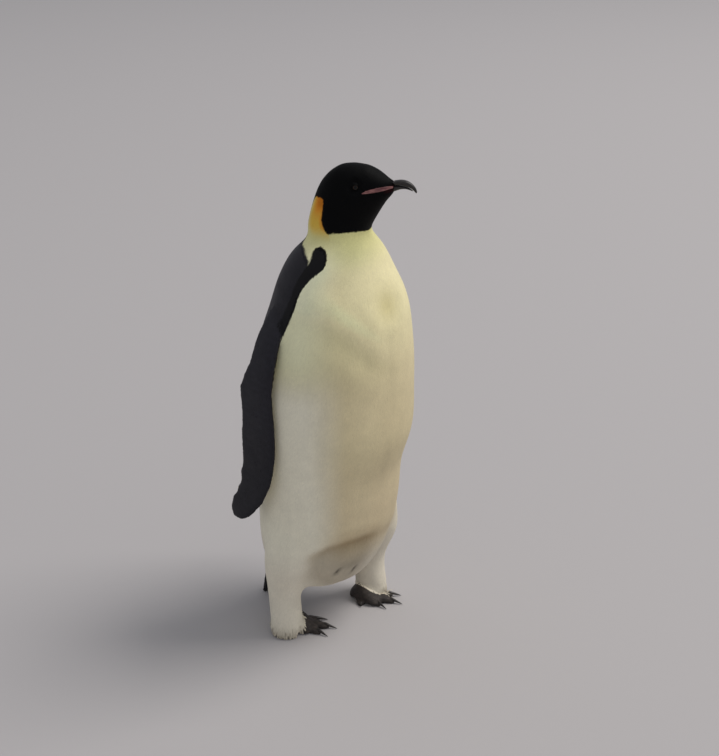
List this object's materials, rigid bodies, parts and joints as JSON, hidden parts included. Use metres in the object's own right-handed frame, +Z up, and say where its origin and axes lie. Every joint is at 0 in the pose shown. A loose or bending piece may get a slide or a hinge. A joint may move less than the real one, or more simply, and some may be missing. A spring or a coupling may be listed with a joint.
{
  "type": "emperor penguin",
  "caption": "Life-size standing emperor penguin with its head turned to its left, flippers hanging and the tail propped on the floor.",
  "frame": {"origin": "on the floor, under the middle of the bird's bounding box", "axes": "+Z up; the body faces -Y, so the bird's own left side is at +X"},
  "size_m": [0.3784, 0.3552, 1.0303],
  "materials": {
    "plumage_pale": "dense short feathers, cream to pale yellow",
    "plumage_black": "short velvety feathers, black",
    "plumage_dark": "scale-like feathers, dark slate",
    "horn": "satin horn, black",
    "rose_horn": "satin horn, dull rose",
    "eye": "wet gloss, dark brown",
    "skin_of_feet": "scaly skin, near black",
    "claw": "worn horn, black"
  },
  "bodies": {
    "root": {"trunk": "plumage_pale", "neck": "plumage_pale", "leg_left": "plumage_pale", "leg_right": "plumage_pale", "head": "plumage_black", "tail": "plumage_dark", "flipper_left": "plumage_dark", "flipper_right": "plumage_dark", "bill_upper": "horn", "bill_lower": "horn", "bill_plate_left": "rose_horn", "bill_plate_right": "rose_horn", "eye_left": "eye", "eye_right": "eye", "foot_left": "skin_of_feet", "foot_right": "skin_of_feet", "claw_left_inner": "claw", "claw_left_middle": "claw", "claw_left_outer": "claw", "claw_left_hallux": "claw", "claw_right_inner": "claw", "claw_right_middle": "claw", "claw_right_outer": "claw", "claw_right_hallux": "claw"}
  },
  "joints": []
}
